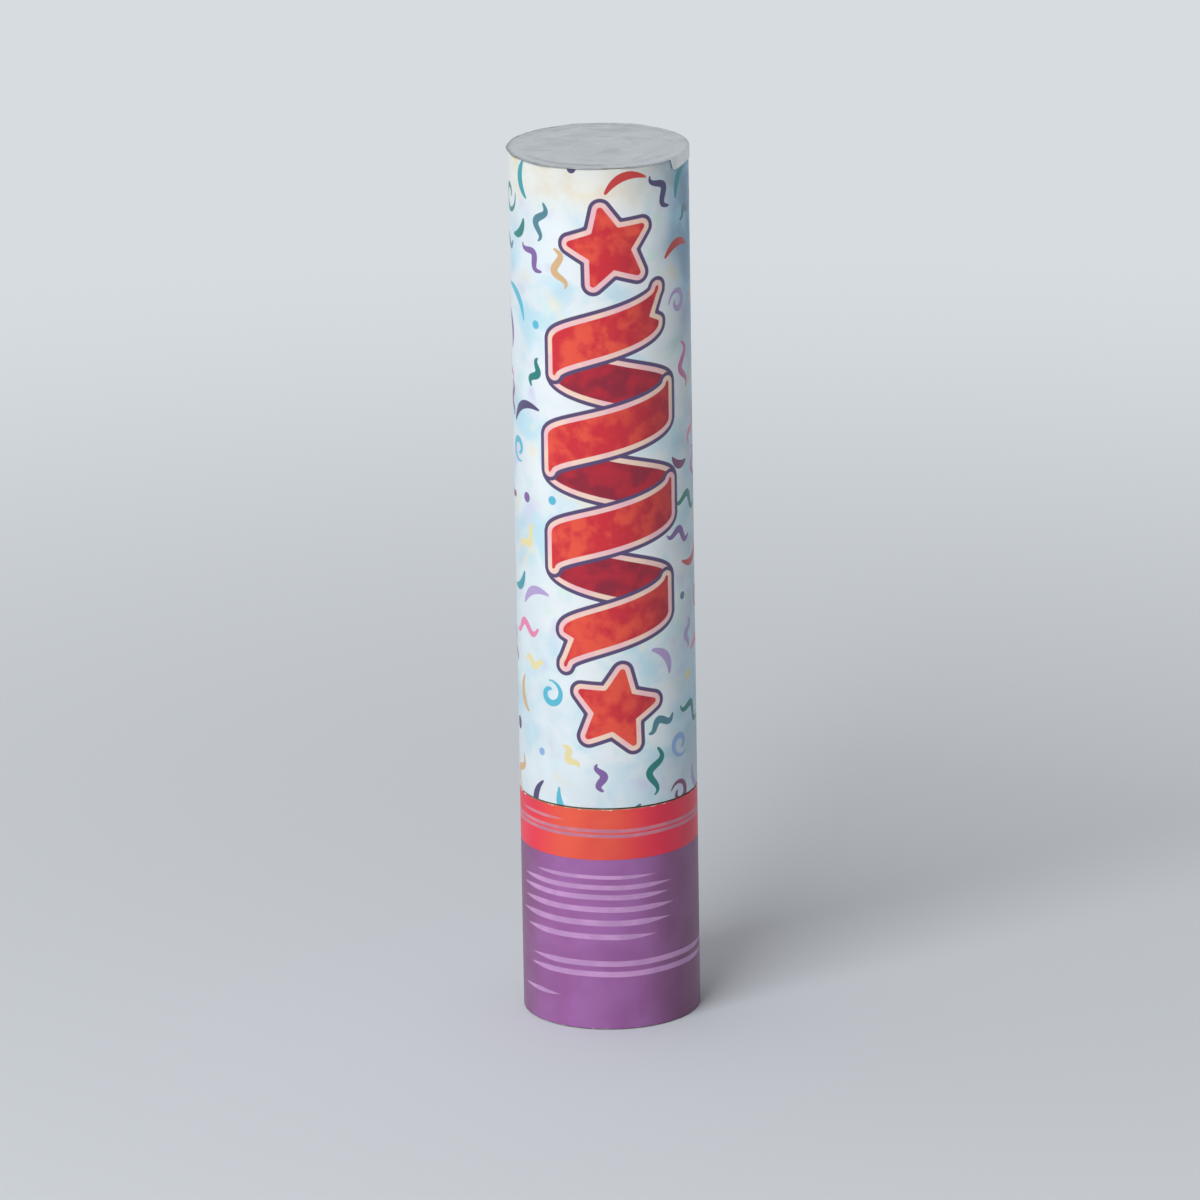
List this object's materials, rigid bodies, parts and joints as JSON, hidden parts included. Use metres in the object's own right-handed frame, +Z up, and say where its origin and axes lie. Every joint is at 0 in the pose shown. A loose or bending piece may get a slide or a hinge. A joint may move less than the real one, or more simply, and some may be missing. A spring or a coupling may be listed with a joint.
{
  "type": "confetti popper",
  "caption": "Upright printed board tube with a foil-sealed mouth, fired by twisting its barrel on the grip so that air from a small tank throws out paper confetti.",
  "frame": {"origin": "centre of the base, on the surface that the popper stands on", "axes": "+Z up along the tube's axis, towards the foil; +X to the right in the picture's view"},
  "size_m": [0.0512, 0.0512, 0.25],
  "materials": {
    "barrel_print": "satin",
    "grip_print": "satin",
    "band_print": "satin",
    "tube_board": "matte",
    "foil": "satin",
    "base_plastic": "satin",
    "tank_plastic": "satin",
    "collar_plastic": "satin",
    "washer_plastic": "satin",
    "brass": "satin",
    "steel": "satin",
    "seal_rubber": "matte",
    "felt": "matte",
    "streamer_paper": "matte",
    "slip_paper": "matte",
    "slip_foil": "gloss"
  },
  "bodies": {
    "grip": {"grip_tube": "tube_board", "grip_wrap": "grip_print", "red_band": "band_print", "base_plug": "base_plastic", "tank_cup": "tank_plastic", "tank_head": "tank_plastic", "tank_seal_ring": "seal_rubber", "slip_washer": "washer_plastic", "retaining_clip": "steel", "valve_body": "brass", "valve_gasket": "seal_rubber", "valve_nut": "brass", "valve_keeper": "brass"},
    "barrel": {"barrel_tube": "tube_board", "barrel_wrap": "barrel_print", "breech_collar": "collar_plastic"},
    "stopper": {"stopper": "collar_plastic", "stopper_seal_ring": "seal_rubber", "lift_pin": "steel"},
    "load": {"pusher_disc": "tube_board", "felt_wad": "felt", "streamer_rolls": "streamer_paper", "paper_slips": "slip_paper", "foil_slips": "slip_foil"},
    "foil": {"foil_seal": "foil"},
    "valve_pin": {"valve_pin": "brass", "valve_pin_seal": "seal_rubber", "valve_spring": "steel"}
  },
  "joints": [
    {"name": "barrel_twist", "type": "hinge", "parent": "grip", "child": "barrel", "pos_m": [0, 0, 0.065], "axis": [0, 0, 1], "range_deg": [0, 75]},
    {"name": "stopper_lift", "type": "slide", "parent": "grip", "child": "stopper", "axis": [0, 0, 1], "range_m": [0, 0.006]},
    {"name": "load_slide", "type": "slide", "parent": "barrel", "child": "load", "axis": [0, 0, 1], "range_m": [0, 0.16]},
    {"name": "foil_lift", "type": "slide", "parent": "barrel", "child": "foil", "axis": [0, 0, 1], "range_m": [0, 0.16]},
    {"name": "valve_push", "type": "slide", "parent": "grip", "child": "valve_pin", "axis": [0, 0, 1], "range_m": [0, 0.0012], "stiffness_N_per_m": 300, "springref_m": -0.004, "deforming": ["valve_spring"]}
  ],
  "couplings": [
    {"joint": "stopper_lift", "follows": "barrel_twist", "m_per_rad": 0.0045836},
    {"joint": "foil_lift", "follows": "load_slide", "ratio": 1}
  ]
}
